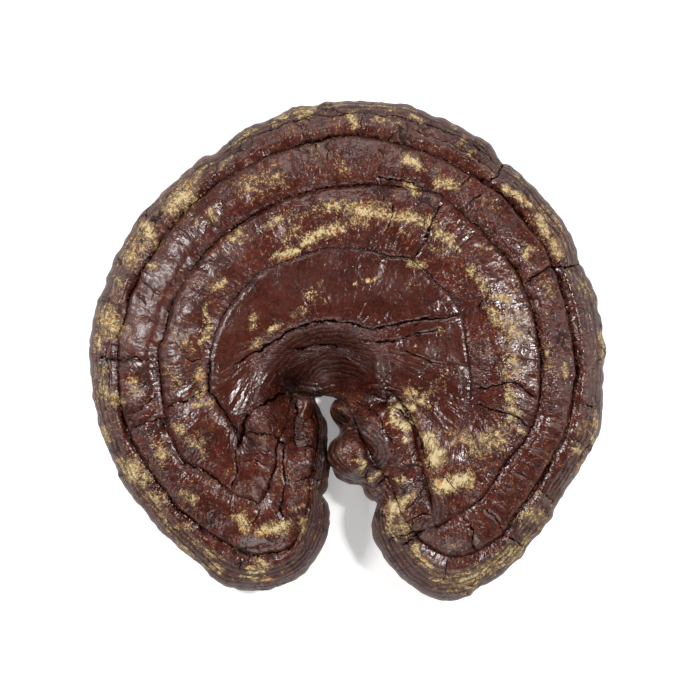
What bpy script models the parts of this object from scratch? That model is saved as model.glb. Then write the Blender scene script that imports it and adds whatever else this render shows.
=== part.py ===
"""A dried reishi mushroom: one woody, kidney-shaped cap, lying on its pore face.

Lengths are in metres and +Z is up. The origin is under the middle of the cap, on the surface it rests on.
The cap is a loft over closed growth lines. Each line runs round both lobes and closes across the stem hollow.
"""

import math

import bmesh
import bpy
from mathutils import Matrix, Vector

MM = 0.001

# How many stations each stretch of a growth line gets: left inner edge, left lobe, upper left, upper right,
# right lobe, right inner edge, and the short run across the stem hollow.
STATIONS = (6, 7, 7, 7, 7, 6, 3)
CURVE_STEPS = 12

# Growth lines in millimetres, from the rim of the hollow out to the margin, one list for each stretch.
HOLLOW_RIM = (
    ((-26, -9), (-30, -9.5)),
    ((-33, -7), (-34, -3)),
    ((-32, 3), (-24, 9), (-12, 12)),
    ((-1, 12), (8, 10), (13, 5)),
    ((16, 0), (17, -4)),
    ((17, -8), (15, -11)),
    ((13, -12), (0, -12.7), (-14, -12)),
)
ZONE_C = (
    ((-28.5, -12), (-35.5, -21), (-41, -30)),
    ((-42, -36.5), (-44.5, -29), (-50.5, -21), (-53.5, -14)),
    ((-53.5, -2), (-50, 10), (-42.5, 21.5), (-34, 30), (-18.5, 36.5)),
    ((-0.5, 40), (16.5, 37), (28.5, 33), (35.5, 26), (45, 13)),
    ((48, -6), (49, -14), (48, -23), (44.5, -31)),
    ((40, -35), (36, -31), (31.5, -25), (26, -19)),
    ((20.5, -14.5), (8, -14.2), (-6, -14.2), (-18, -13.5)),
)
ZONE_B = (
    ((-22, -17), (-24, -27), (-28, -40), (-28, -46), (-31.5, -56)),
    ((-34.5, -60), (-45, -56), (-56.5, -47), (-67.5, -38), (-71.5, -26)),
    ((-74, -2), (-70, 12), (-60, 33), (-50, 44), (-32.5, 55), (-18.5, 61)),
    ((-0.5, 64.5), (21.5, 64), (37.5, 60), (47.5, 52), (59.5, 40), (70.5, 22)),
    ((76.5, -7), (75, -23), (67.5, -38.5), (57, -53), (45.5, -63)),
    ((34.5, -69), (33.5, -62), (30, -48), (27, -34.5), (23, -23)),
    ((16.5, -16.5), (8, -15.8), (-4, -15.8), (-14, -16)),
)
ZONE_A = (
    ((-15.5, -18), (-12, -26), (-11.8, -40), (-13.5, -48), (-15.5, -62), (-20, -75)),
    ((-30.5, -80.5), (-50.5, -75), (-66, -63), (-77.5, -48), (-86.5, -32)),
    ((-90.5, 2), (-86, 20), (-78, 36), (-66.5, 52), (-50.5, 66.5), (-26.5, 78.5)),
    ((0, 84.5), (21.5, 81), (45.5, 71.5), (61.5, 61), (76.5, 43), (88, 12)),
    ((90.5, -7), (86.5, -32), (78, -48), (70, -61), (62, -72), (49.5, -80.5)),
    ((41.5, -81.5), (30, -76), (20.5, -60), (12.5, -46), (6, -38), (3.5, -30)),
    ((2, -20.5), (-5, -17.4)),
)
MARGIN = (
    ((-13, -19), (-7.5, -31), (-8, -41), (-7.5, -50), (-10.5, -59), (-7, -69), (-13.5, -85), (-25.5, -93.5)),
    ((-34, -95.5), (-50, -93), (-58.5, -86.5), (-79.5, -66), (-91.5, -47), (-100, -25)),
    ((-102.5, 3), (-97, 25), (-85.5, 49), (-66.5, 69), (-52.5, 79), (-30, 93), (-8.5, 99.5)),
    ((-0.5, 99.5), (23.5, 97.5), (43.5, 89.5), (61.5, 76.5), (78, 59.5), (91, 42), (100.5, 14)),
    ((102.5, -7), (100, -34), (90.5, -51.5), (79.5, -69.5), (65.5, -85.5), (47.5, -99)),
    ((38.5, -101), (22.5, -92), (10.5, -72), (12, -61), (0, -52.5), (-5.5, -45), (-3, -33.5), (-6, -25)),
    ((-3.5, -19.5), (-8, -18.6)),
)
GROWTH_LINES = (HOLLOW_RIM, ZONE_C, ZONE_B, ZONE_A, MARGIN)

# Rows over the top, as growth-line number and height in millimetres. The notch lifts the rows near its edges.
TOP_ROWS = ((0, 30), (0.5, 31.5), (1, 30.5), (1.5, 31), (2, 27), (2.5, 26.5), (3, 22), (3.5, 19), (3.85, 14.5))
EDGE_HEIGHT = 8.0
UNDER_ROWS = ((3.88, 2.0), (3.6, -0.5), (3, 2.6), (2, 6), (1, 6.5))
NOTCH_LIFT = 5.0
EDGE_GROWTH = 1.5
NOTCH_EDGE_GROWTH = 0.2

# How wide the rounded change between the top and the hollow is.
RIM_BLEND = 4.0

# The hollow where the stem grew: a bowl in the top, and its stump below, cut off flat.
BOWL_CENTRE = (-10, -18)
BOWL_RADIUS = (25, 29)
BOWL_FLOOR = 7.0
BOWL_RISE = 26.0
BOWL_POWER = 1.7
BOWL_ROWS = (0.75, 0.5, 0.25)
STUMP_CENTRE = (-8, -4)
STUMP_RADIUS = 14
STUMP_START = 1.0
STUMP_FLARE = 0.4
STUMP_SHARE = 0.62
STUMP_DROP = 3.0

# Knobs in the notch: centre and half-sizes in millimetres.
KNOB_SEGMENTS = 14
KNOB_RINGS = 9
KNOBS = (
    ("curl_knob", (-0.5, -24.5, 15.5), (4.6, 4.8, 6.5)),
    ("front_knob", (0.8, -42, 16), (5.6, 8.0, 8.0)),
    ("side_knob", (6.5, -50, 16), (4.5, 4.2, 6.0)),
)

# The block below the resting plane, which cuts the stump flat.
GROUND_SIZE = Vector((0.3, 0.3, 0.05))

CAP_COLOUR = (0.085, 0.024, 0.016, 1.0)
CAP_ROUGHNESS = 0.35
ROUNDING_LEVELS = 1


def clear_scene():
    for old in list(bpy.data.objects):
        bpy.data.objects.remove(old)


def new_collection(name):
    collection = bpy.data.collections.new(name)
    bpy.context.scene.collection.children.link(collection)
    return collection


def smooth_point(before, start, end, after, share):
    """A point on the Catmull-Rom curve from start to end."""
    leave = (end - before) * 0.5
    arrive = (after - start) * 0.5
    square = share * share
    cube = square * share
    return (
        start * (2 * cube - 3 * square + 1)
        + leave * (cube - 2 * square + share)
        + end * (3 * square - 2 * cube)
        + arrive * (cube - square)
    )


def stretch_path(points, first, last):
    """The smooth curve between two numbered points of a closed line, as many short chords."""
    count = len(points)
    path = [points[first % count]]
    for index in range(first, last):
        four = [points[(index + offset) % count] for offset in (-1, 0, 1, 2)]
        path += [smooth_point(*four, step / CURVE_STEPS) for step in range(1, CURVE_STEPS + 1)]
    return path


def even_points(path, amount):
    """As many points as asked, evenly spaced along a path. The path's own end is left out."""
    lengths = [0.0]
    for before, after in zip(path, path[1:]):
        lengths.append(lengths[-1] + (after - before).length)
    found = []
    segment = 0
    for number in range(amount):
        wanted = lengths[-1] * number / amount
        while lengths[segment + 1] < wanted:
            segment += 1
        share = (wanted - lengths[segment]) / (lengths[segment + 1] - lengths[segment])
        found.append(path[segment].lerp(path[segment + 1], share))
    return found


def growth_line(stretches):
    """One closed growth line as station points, each stretch evenly divided."""
    points = [Vector(point) for stretch in stretches for point in stretch]
    stations = []
    first = 0
    for stretch, amount in zip(stretches, STATIONS):
        last = first + len(stretch)
        stations += even_points(stretch_path(points, first, last), amount)
        first = last
    return stations


def notch_shares():
    """How much each station belongs to the notch: 1 on the inner edges, fading over the lobe tips."""
    shares = []
    for number, amount in enumerate(STATIONS):
        for step in range(amount):
            along = step / amount
            if number == 0:
                shares.append(1 - along**3)
            elif number == 5:
                shares.append(1 - (1 - along) ** 3)
            else:
                shares.append(1.0 if number == 6 else 0.0)
    return shares


def between(lines, row):
    """The station points at a row that may lie between two growth lines."""
    inner = min(int(row), len(lines) - 2)
    return [a.lerp(b, row - inner) for a, b in zip(lines[inner], lines[inner + 1])]


def bowl_height(x, y):
    across = (x - BOWL_CENTRE[0]) / BOWL_RADIUS[0]
    along = (y - BOWL_CENTRE[1]) / BOWL_RADIUS[1]
    return BOWL_FLOOR + BOWL_RISE * math.hypot(across, along) ** BOWL_POWER


def soft_least(a, b):
    """The lower of two heights, with a rounded change from one to the other."""
    share = max(RIM_BLEND - abs(a - b), 0.0) / RIM_BLEND
    return min(a, b) - share * share * RIM_BLEND / 4


def under_height(x, y, height):
    """The underside's height, which comes down to the stump near the hollow."""
    beyond = math.dist((x, y), STUMP_CENTRE) - STUMP_RADIUS
    return min(height, STUMP_START + STUMP_FLARE * max(beyond, 0))


def outward(points):
    """Unit directions that point out of a closed line that runs clockwise seen from above."""
    count = len(points)
    directions = []
    for index in range(count):
        along = points[(index + 1) % count] - points[index - 1]
        directions.append(Vector((-along.y, along.x)).normalized())
    return directions


def top_row(lines, row, height, lifts):
    places = between(lines, row)
    share = row / (len(lines) - 1)
    heights = [height + NOTCH_LIFT * lift * share for lift in lifts]
    return [(p.x, p.y, soft_least(z, bowl_height(p.x, p.y))) for p, z in zip(places, heights)]


def cage_rows(lines):
    """Every row of the cage, from the middle of the bowl over the margin to the edge of the stump."""
    lifts = notch_shares()
    rim = lines[0]
    middle = sum(rim, Vector((0, 0))) / len(rim)
    rows = []
    for share in reversed(BOWL_ROWS):
        places = [middle.lerp(p, share) for p in rim]
        rows.append([(p.x, p.y, bowl_height(p.x, p.y)) for p in places])
    rows += [top_row(lines, row, height, lifts) for row, height in TOP_ROWS]
    for p, direction, lift in zip(lines[-1], outward(lines[-1]), lifts):
        p += direction * (EDGE_GROWTH + (NOTCH_EDGE_GROWTH - EDGE_GROWTH) * lift)
    rows.append([(p.x, p.y, EDGE_HEIGHT) for p in lines[-1]])
    for row, height in UNDER_ROWS:
        rows.append([(p.x, p.y, under_height(p.x, p.y, height)) for p in between(lines, row)])
    stump = [middle.lerp(p, STUMP_SHARE) for p in rim]
    rows.append([(p.x, p.y, STUMP_DROP) for p in stump])
    rows.append([(p.x, p.y, -STUMP_DROP) for p in stump])
    return rows, middle


def cage_mesh():
    """The coarse closed cage, in metres."""
    lines = [growth_line(stretches) for stretches in GROWTH_LINES]
    rows, middle = cage_rows(lines)
    cage = bmesh.new()
    loops = [[cage.verts.new(Vector(p) * MM) for p in row] for row in rows]
    poles = (
        cage.verts.new(Vector((middle.x, middle.y, bowl_height(middle.x, middle.y))) * MM),
        cage.verts.new(Vector((middle.x, middle.y, -STUMP_DROP)) * MM),
    )
    count = len(loops[0])
    for index in range(count):
        following = (index + 1) % count
        cage.faces.new((poles[0], loops[0][following], loops[0][index]))
        cage.faces.new((poles[1], loops[-1][index], loops[-1][following]))
        for inner, outer in zip(loops, loops[1:]):
            cage.faces.new((inner[index], inner[following], outer[following], outer[index]))
    bmesh.ops.recalc_face_normals(cage, faces=cage.faces)
    mesh = bpy.data.meshes.new("cap")
    cage.to_mesh(mesh)
    cage.free()
    return mesh


def crust_material():
    material = bpy.data.materials.new("lacquered_crust")
    material.use_nodes = True
    shader = material.node_tree.nodes["Principled BSDF"]
    shader.inputs["Base Color"].default_value = CAP_COLOUR
    shader.inputs["Roughness"].default_value = CAP_ROUGHNESS
    shader.inputs["Metallic"].default_value = 0.0
    return material


def as_cutter(shape, name, cutters):
    shape.name = name
    shape.hide_render = True
    shape.display_type = "WIRE"
    for collection in list(shape.users_collection):
        collection.objects.unlink(shape)
    cutters.objects.link(shape)
    return shape


def knob(name, centre, half_sizes, cutters):
    bpy.ops.mesh.primitive_uv_sphere_add(segments=KNOB_SEGMENTS, ring_count=KNOB_RINGS, radius=1.0)
    shape = bpy.context.object
    shape.data.transform(Matrix.LocRotScale(None, None, Vector(half_sizes) * MM))
    shape.location = Vector(centre) * MM
    return as_cutter(shape, name, cutters)


def join_or_cut(target, other, operation):
    step = target.modifiers.new(other.name, "BOOLEAN")
    step.operation = operation
    step.solver = "EXACT"
    step.object = other


def build():
    clear_scene()
    parts = new_collection("reishi_mushroom")
    cutters = new_collection("cutters")
    cap = bpy.data.objects.new("cap", cage_mesh())
    parts.objects.link(cap)
    cap.data.materials.append(crust_material())
    rounding = cap.modifiers.new("rounding", "SUBSURF")
    rounding.levels = ROUNDING_LEVELS
    rounding.render_levels = ROUNDING_LEVELS
    for name, centre, half_sizes in KNOBS:
        join_or_cut(cap, knob(name, centre, half_sizes, cutters), "UNION")
    bpy.ops.mesh.primitive_cube_add(size=1.0)
    ground = bpy.context.object
    ground.data.transform(Matrix.LocRotScale(None, None, GROUND_SIZE))
    ground.location.z = -GROUND_SIZE.z / 2
    join_or_cut(cap, as_cutter(ground, "flat_cut", cutters), "DIFFERENCE")
    cap.data.shade_smooth()


build()
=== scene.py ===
"""The looks of a dried reishi mushroom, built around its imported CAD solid.

The visual cap is a fine loft over the same closed growth lines as the CAD cap. Lengths below are in
millimetres until the mesh is written in metres. Furrows, cracks, knobs and growth lines are real shape,
and the crust, powder and pore face are node materials that read fields stored on the mesh.
"""

import math

import bpy
import numpy as np
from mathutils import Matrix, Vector


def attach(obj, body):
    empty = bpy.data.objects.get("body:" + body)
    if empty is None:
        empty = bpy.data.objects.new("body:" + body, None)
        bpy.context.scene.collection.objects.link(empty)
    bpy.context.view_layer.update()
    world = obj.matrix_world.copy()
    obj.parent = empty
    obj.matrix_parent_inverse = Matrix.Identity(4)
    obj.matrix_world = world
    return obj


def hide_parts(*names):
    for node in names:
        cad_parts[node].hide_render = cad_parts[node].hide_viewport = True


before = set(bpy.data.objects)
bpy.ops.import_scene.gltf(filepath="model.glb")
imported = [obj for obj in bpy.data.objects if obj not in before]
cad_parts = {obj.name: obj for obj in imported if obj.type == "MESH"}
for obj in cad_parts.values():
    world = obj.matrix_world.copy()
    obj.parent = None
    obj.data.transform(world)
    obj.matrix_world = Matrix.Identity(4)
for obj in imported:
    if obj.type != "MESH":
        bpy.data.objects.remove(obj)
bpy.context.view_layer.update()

MM = 0.001
CAD_NODE = "cap"
SEED = 20

# ---------------------------------------------------------------- growth lines
# How many stations each stretch of a growth line gets: left inner edge, left lobe, upper left, upper right,
# right lobe, right inner edge, and the short run across the stem hollow.
STATIONS = (80, 122, 148, 150, 122, 88, 8)
LEFT_INNER, RIGHT_LOBE, RIGHT_INNER, ACROSS = 0, 4, 5, 6
CURVE_STEPS = 16

# Growth lines from the rim of the stem hollow out to the margin, one list for each stretch.
HOLLOW_RIM = (
    ((-26, -9), (-30, -9.5)),
    ((-33, -7), (-34, -3)),
    ((-32, 3), (-24, 9), (-12, 12)),
    ((-1, 12), (8, 10), (13, 5)),
    ((16, 0), (17, -4)),
    ((17, -8), (15, -11)),
    ((13, -12), (0, -12.7), (-14, -12)),
)
ZONE_C = (
    ((-28.5, -12), (-32.5, -16), (-35.5, -21), (-38.5, -25), (-41, -30)),
    ((-42, -36.5), (-44.5, -29), (-50.5, -21), (-53.5, -14), (-54, -6)),
    ((-53.5, -2), (-50, 10), (-46.5, 16.5), (-42.5, 21.5), (-34, 30), (-26.5, 33.5), (-10.5, 39)),
    ((-0.5, 40), (9.5, 39), (16.5, 36.5), (22.5, 36), (28.5, 33), (35.5, 26), (41.5, 20), (45, 13), (47, 2)),
    ((48, -6), (49, -14), (48, -23), (44.5, -31)),
    ((40, -35), (36, -31), (31.5, -25), (26, -19)),
    ((20.5, -14.5), (8, -14.2), (-6, -14.2), (-18, -13.5)),
)
ZONE_B = (
    ((-22, -17), (-22.8, -22), (-24, -27), (-26.5, -34), (-28, -40), (-28, -45), (-30, -50.5), (-31.5, -56)),
    ((-34.5, -60), (-38.5, -58.5), (-45, -56), (-51.5, -51), (-56.5, -47), (-63.5, -44), (-67.5, -38),
     (-71.5, -26)),
    ((-74, -2), (-72, 5), (-68, 19), (-60, 33), (-50, 44), (-42.5, 49), (-32.5, 55), (-25, 59), (-10.5, 63)),
    ((-0.5, 64.5), (9.5, 65), (21.5, 64), (31.5, 62.5), (37.5, 60), (43.5, 55.5), (54.5, 45), (65.5, 32.5),
     (70.5, 22), (73, 15), (74.5, 8)),
    ((76.5, -7), (76, -14), (75, -23), (72, -32), (67.5, -38.5), (61.5, -45), (57, -53), (52, -59),
     (45.5, -63)),
    ((34.5, -69), (33.5, -62), (32, -55), (30, -48), (28, -41), (27, -34.5), (26, -28), (23, -23), (20, -19)),
    ((16.5, -16.5), (8, -15.8), (-4, -15.8), (-14, -16)),
)
ZONE_A = (
    ((-15.5, -18), (-12.2, -26), (-11.5, -32), (-12, -40), (-13.5, -48), (-15.5, -62), (-17.5, -69),
     (-20, -75), (-24.5, -79)),
    ((-30.5, -80.5), (-38.5, -80.5), (-50.5, -75), (-59, -69), (-66, -63), (-72, -56), (-77.5, -48),
     (-82.5, -40), (-86.5, -32), (-90, -19)),
    ((-90.5, 2), (-88, 12), (-86, 20), (-82.5, 28), (-78, 36), (-66.5, 52), (-58.5, 59.5), (-50.5, 66.5),
     (-38.5, 73), (-26.5, 78.5), (-10.5, 83)),
    ((0, 84.5), (9.5, 84), (21.5, 81), (33.5, 77), (45.5, 71.5), (53.5, 66.5), (61.5, 61), (69.5, 51.5),
     (76.5, 43), (80, 36), (83.5, 28), (88, 12)),
    ((90.5, -7), (89.5, -16), (86.5, -32), (82.5, -40), (78, -48), (74.5, -54), (70, -61), (65.5, -66),
     (62, -72), (56, -76.5), (49.5, -80.5)),
    ((41.5, -81.5), (35, -79.5), (30, -76), (24.5, -68), (20.5, -60), (17.5, -54), (12.5, -46), (7.5, -38),
     (5, -30)),
    ((2.5, -20.5), (-5, -17.4)),
)
MARGIN = (
    ((-13, -19), (-10.2, -25), (-8, -31), (-7.8, -40), (-7, -48), (-8.5, -56), (-11, -59), (-8, -61.5),
     (-7, -69), (-8.5, -76), (-13.5, -85), (-18.5, -90), (-25.5, -93.8)),
    ((-34, -96), (-42.5, -95.5), (-50, -93.5), (-58.5, -86.8), (-70, -76), (-79.5, -66), (-87.5, -55.5),
     (-91.8, -47), (-96, -38), (-100, -25), (-102.3, -8)),
    ((-102.6, 3), (-101.4, 9), (-100.2, 17.5), (-97, 25), (-93.5, 35), (-85.7, 49), (-76, 60.5),
     (-66.7, 69), (-57.7, 76.4), (-52.3, 78.6), (-40.7, 88), (-30, 93), (-18.7, 97), (-13.5, 97.2),
     (-8.5, 99.3)),
    ((-0.5, 99.8), (11.5, 99.2), (23.5, 97.8), (33.5, 94.2), (43.5, 89.6), (54.5, 83.8), (58.8, 80),
     (61.3, 76), (70.2, 69.3), (78, 60), (86.2, 50.7), (91, 42), (92.8, 35), (97.6, 26), (100.7, 14),
     (102.6, 0)),
    ((102.7, -7), (102, -20), (100, -34), (96, -43.2), (90.5, -51.8), (85, -60), (79.8, -69.7),
     (71.6, -79.5), (65.6, -85.8), (57.5, -92.4), (47.5, -98.3)),
    ((38.5, -99.6), (31.5, -98.4), (26.3, -95), (22.5, -92), (17.3, -85), (12.5, -78), (10.3, -72),
     (10.6, -66), (12.3, -61), (9.8, -57.8), (6, -53.8), (0, -52.6), (-4, -51), (-5.4, -46), (-5.4, -39.5),
     (-2.8, -33.8), (-5, -28), (-5.6, -23)),
    ((-3.5, -19.5), (-8, -18.6)),
)
GROWTH_LINES = (HOLLOW_RIM, ZONE_C, ZONE_B, ZONE_A, MARGIN)

# Height of the top by growth-line number: 0 is the hollow's rim, 1 to 3 the dark furrows, 4 the margin.
TOP_PROFILE = (
    (0, 30), (0.25, 31.2), (0.5, 31.5), (0.8, 31.2), (1, 30.4), (1.25, 31.2), (1.5, 31.0), (1.8, 29.2),
    (2, 26.9), (2.25, 27.7), (2.5, 26.7), (2.8, 24.3), (3, 21.9), (3.25, 22.2), (3.5, 19.8),
    (3.8, 16.6), (4, 13.8),
)
# The margin rolls over from the top to its lowest height, across this width or this share of the last
# zone, whichever is less. The turn starts at this angle, in radians.
EDGE_LOW = 0.35
ROLL_WIDTH = 4.6
ROLL_SHARE = 0.4
ROLL_START = 0.35
# The margin stands this much higher along the notch.
NOTCH_LIFT = 5.0

# The stem hollow is an oval bowl, whose rim is rounded over this height.
RIM_BLEND = 4.0
BOWL_CENTRE = (-10, -18)
BOWL_RADIUS = (25, 29)
BOWL_FLOOR = 7.0
BOWL_RISE = 26.0
BOWL_POWER = 1.7

# The underside from the margin in: growth-line number and height. It starts this many roll widths in.
UNDER_ROWS = ((3.6, 0.05), (3.3, 0.9), (2.9, 2.6), (2.4, 4.6), (1.9, 5.8), (1.3, 6.4), (0.5, 6.4))
UNDER_INSET = 1.15
# The stem's stump stands in the middle of the underside, and ends in a flat cut.
STUMP_CENTRE = (-8, -4)
STUMP_RADIUS = 14
STUMP_START = 1
STUMP_FLARE = 0.4
STUMP_SHARES = (0.8, 0.66, 0.62)
STUMP_HEIGHTS = (2.6, 0.7, 0.0)

# Rows of mesh points in each zone of the top, in the hollow, in the outmost zone and round its margin.
BAND_ROWS = (20, 22, 22)
HOLLOW_ROWS = 19
OUTER_ROWS = 26
ROLL_ROWS = 15

# ---------------------------------------------------------------- features
# Lumps on the top: centre, half-sizes, turn in degrees and height. Negative heights are pits.
LUMPS = (
    ((-31.2, -27), (7.5, 9), 10, 3.6),
    ((-18.2, -21.5), (2.6, 5), -8, 4.2),
    ((-15.8, -33.5), (3.8, 7), 4, 2.6),
    ((-33, -46), (8, 8), 0, 1.2),
    ((-0.2, -24.5), (4.6, 4.4), 0, 6.0),
    ((-0.4, -28.2), (1.7, 1.4), 0, -6.0),
    ((0.8, -41.5), (6.3, 6.8), 0, 6.0),
    ((6.0, -46.5), (3.4, 3.2), 0, 3.0),
    ((11.5, -49.5), (3.4, 3.6), 0, 2.8),
    ((9.5, -56), (3.4, 3.6), 0, 1.8),
    ((8.5, -30), (9, 4.2), -50, 2.6),
    ((23.5, -66.5), (7.6, 9), 12, 2.4),
    ((13.8, -19), (4.6, 3.6), 0, -4.5),
    ((13.5, -8.5), (2.6, 8.5), 6, 3.0),
    ((27, -3), (7, 6), 0, 1.2),
    ((-46, -8), (6, 12), -10, -1.2),
    ((-57, -27), (9, 7), 30, 1.4),
    ((40, -45), (8, 10), 0, 1.2),
)

# Crack lines over the crust: half-width, depth, then x and y of each point they run through.
CRACKS = (
    (0.75, 1.3, -24, -16.5, -27, -17.8, -31, -19.5, -37.3, -23, -39.8, -28, -41.3, -33, -43, -39),
    (0.55, 0.9, -53, -3, -53.6, -10, -53.4, -15.3, -49, -23, -44.5, -29, -42, -34),
    (0.35, 0.5, -40, -31, -33, -33, -27, -35.5, -22, -36), (0.35, 0.6, -22, -39, -16, -38.5, -9, -39.5),
    (0.3, 0.5, -22, -51, -15, -50.5, -8.5, -51.5), (0.3, 0.5, -42.5, -44, -36, -43, -30, -45),
    (0.4, 0.6, 18, -22, 24, -27, 27, -33, 30, -41, 33.5, -47), (0.3, 0.5, 24.5, -66, 30, -64, 34, -65),
    (0.45, 0.7, 15, -75, 24, -71.5, 34.5, -69.5), (0.35, 0.6, 6, 93.5, 5.5, 89, 6, 85.5),
    (0.55, 0.9, 64, 77, 62.5, 75, 59.5, 69.5, 54.5, 66), (0.3, 0.5, 49.5, 69.5, 44.5, 64.5),
    (0.25, 0.4, 36, 75.5, 34, 73), (0.5, 0.8, 54, 62.5, 50, 60, 48, 57, 47, 55),
    (0.25, 0.5, 60.5, 51.5, 58.5, 48), (0.6, 1.0, 94, 35, 92, 34, 85.5, 32.5, 78, 32, 74, 29, 69.5, 25.5),
    (0.45, 0.8, 38, 58, 36.5, 55, 33.5, 50.5, 31.5, 46, 30.5, 42, 28, 39, 26, 35),
    (0.3, 0.5, 18, 58, 17.5, 53, 14.5, 45), (0.25, 0.4, 49.5, 45.5, 46, 42, 43, 38.5, 41.5, 36),
    (0.3, 0.5, 53.5, 32, 50, 30, 47.5, 26, 45.5, 24), (0.3, 0.6, 56.5, 23, 52.5, 20, 51, 15, 49.5, 13.5),
    (0.5, 0.8, 49.5, -15, 53.5, -15, 61.5, -12.7, 67, -13, 71, -16, 75.5, -18.5),
    (0.5, 0.8, 49.5, -20, 54, -22, 59.5, -24, 66, -26, 69, -28, 72, -31), (0.25, 0.4, 80.5, -21, 86, -23.5),
    (0.35, 0.5, 89.5, -21, 95, -22, 100, -23), (0.3, 0.5, 87.5, -34, 94, -37),
    (0.3, 0.5, 65.5, -48, 70, -49, 73.5, -52), (0.25, 0.4, 74.5, -53, 78, -56, 81.5, -60),
    (0.35, 0.6, 53.5, -62.5, 57, -65, 59.5, -69, 61.5, -72),
    (0.4, 0.6, 45, -65, 48.5, -69, 49.5, -76, 51, -80), (0.45, 0.7, 62.5, -73, 66, -75, 69.5, -78),
    (0.35, 0.6, 40, -82, 38.5, -88, 38, -92),
    (0.4, 0.7, -98.5, -3, -93, -3.3, -87.5, -4, -82, -3.2, -78, -3.8, -74.5, -3),
    (0.35, 0.6, -64, -3, -60, -3.8, -56, -3), (0.45, 0.7, -85, -24.5, -80, -23, -76, -19, -74, -17),
    (0.4, 0.7, -86, -32, -82, -29.5, -77, -28, -73.5, -27, -71.5, -32),
    (0.45, 0.8, -71.5, -24.5, -69, -21.5, -66, -20, -62, -19.5, -58.5, -17, -54.5, -16),
    (0.3, 0.6, -45.5, -56, -45, -60, -47, -64), (0.3, 0.5, -50.5, -62, -53.5, -67),
    (0.35, 0.6, -34.5, -62, -35, -65, -39, -69), (0.3, 0.5, -42, -80.5, -42, -84, -42.5, -88),
    (0.2, 0.3, -24, 53, -23, 49.5), (0.2, 0.3, 29.5, -41, 37.5, -49, 43.5, -55),
    (0.45, 0.8, -42, -36, -43.5, -41, -42.8, -46, -43.5, -50, -46, -55),
    (0.55, 0.9, -24.5, -36, -24.6, -48, -24.3, -56, -26, -64, -23, -67),
    (0.6, 0.9, -44, -6, -38, -2.5, -33, 1, -28, 4.5, -23.5, 7, -17, 10, -10.5, 11, -0.5, 11, 5.5, 9, 10, 8,
     17.5, 9.5, 21.5, 11, 28.5, 11.5, 31, 13, 37.5, 12, 44, 14), (0.4, 0.6, -23, 0, -14, 1.8, -5, 1.4, 2, 0),
    (0.35, 0.6, 4, 3.5, 10, 3.6, 17.5, 3, 23.5, 6, 29.5, 7, 37.5, 8),
    (0.35, 0.6, 21.5, 0, 27.5, -3, 37.5, -5.5), (0.3, 0.5, 25.5, 11, 26.5, 7, 29.5, 4),
    (0.45, 0.6, 9.5, 67.3, 17.5, 66.8, 25.5, 65.4, 31.5, 63),
    (0.6, 1.0, 34.5, -69, 29.5, -71, 25.5, -74, 21, -77),
    (0.3, 0.4, -44, 82, -30.5, 87.3, -22.5, 90.3, -14.5, 92.3, 1.5, 93.4, 17.5, 92.8, 29.5, 90, 37.5, 87,
     49.5, 82, 56, 77.5, 60, 73), (0.25, 0.35, 25.5, 86.5, 39.5, 82, 51.5, 76, 58, 70.5),
    (0.3, 0.4, -93.5, 8, -94.5, 0, -94.5, -7, -93.5, -16),
    (0.4, 0.7, 5.4, -35, 7.5, -41, 9.8, -45.5, 14, -46.5), (0.4, 0.7, 4.5, -50.5, 8, -48.8, 8.8, -46),
    (0.4, 0.7, 13, -53.5, 15, -50, 19, -49.5),
    (0.4, 0.8, -20.8, -14, -21.6, -20, -20.8, -27, -20.6, -34, -18.5, -40),
    (0.35, 0.6, -12.5, -22, -14.5, -27, -12, -31, -11, -38),
    (0.35, 0.5, 3, -19, 8, -22, 13, -27, 16.5, -33, 18, -38),
    (0.3, 0.5, 1.5, -29.5, 5.5, -33, 9, -37.5, 12, -41),
)

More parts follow.
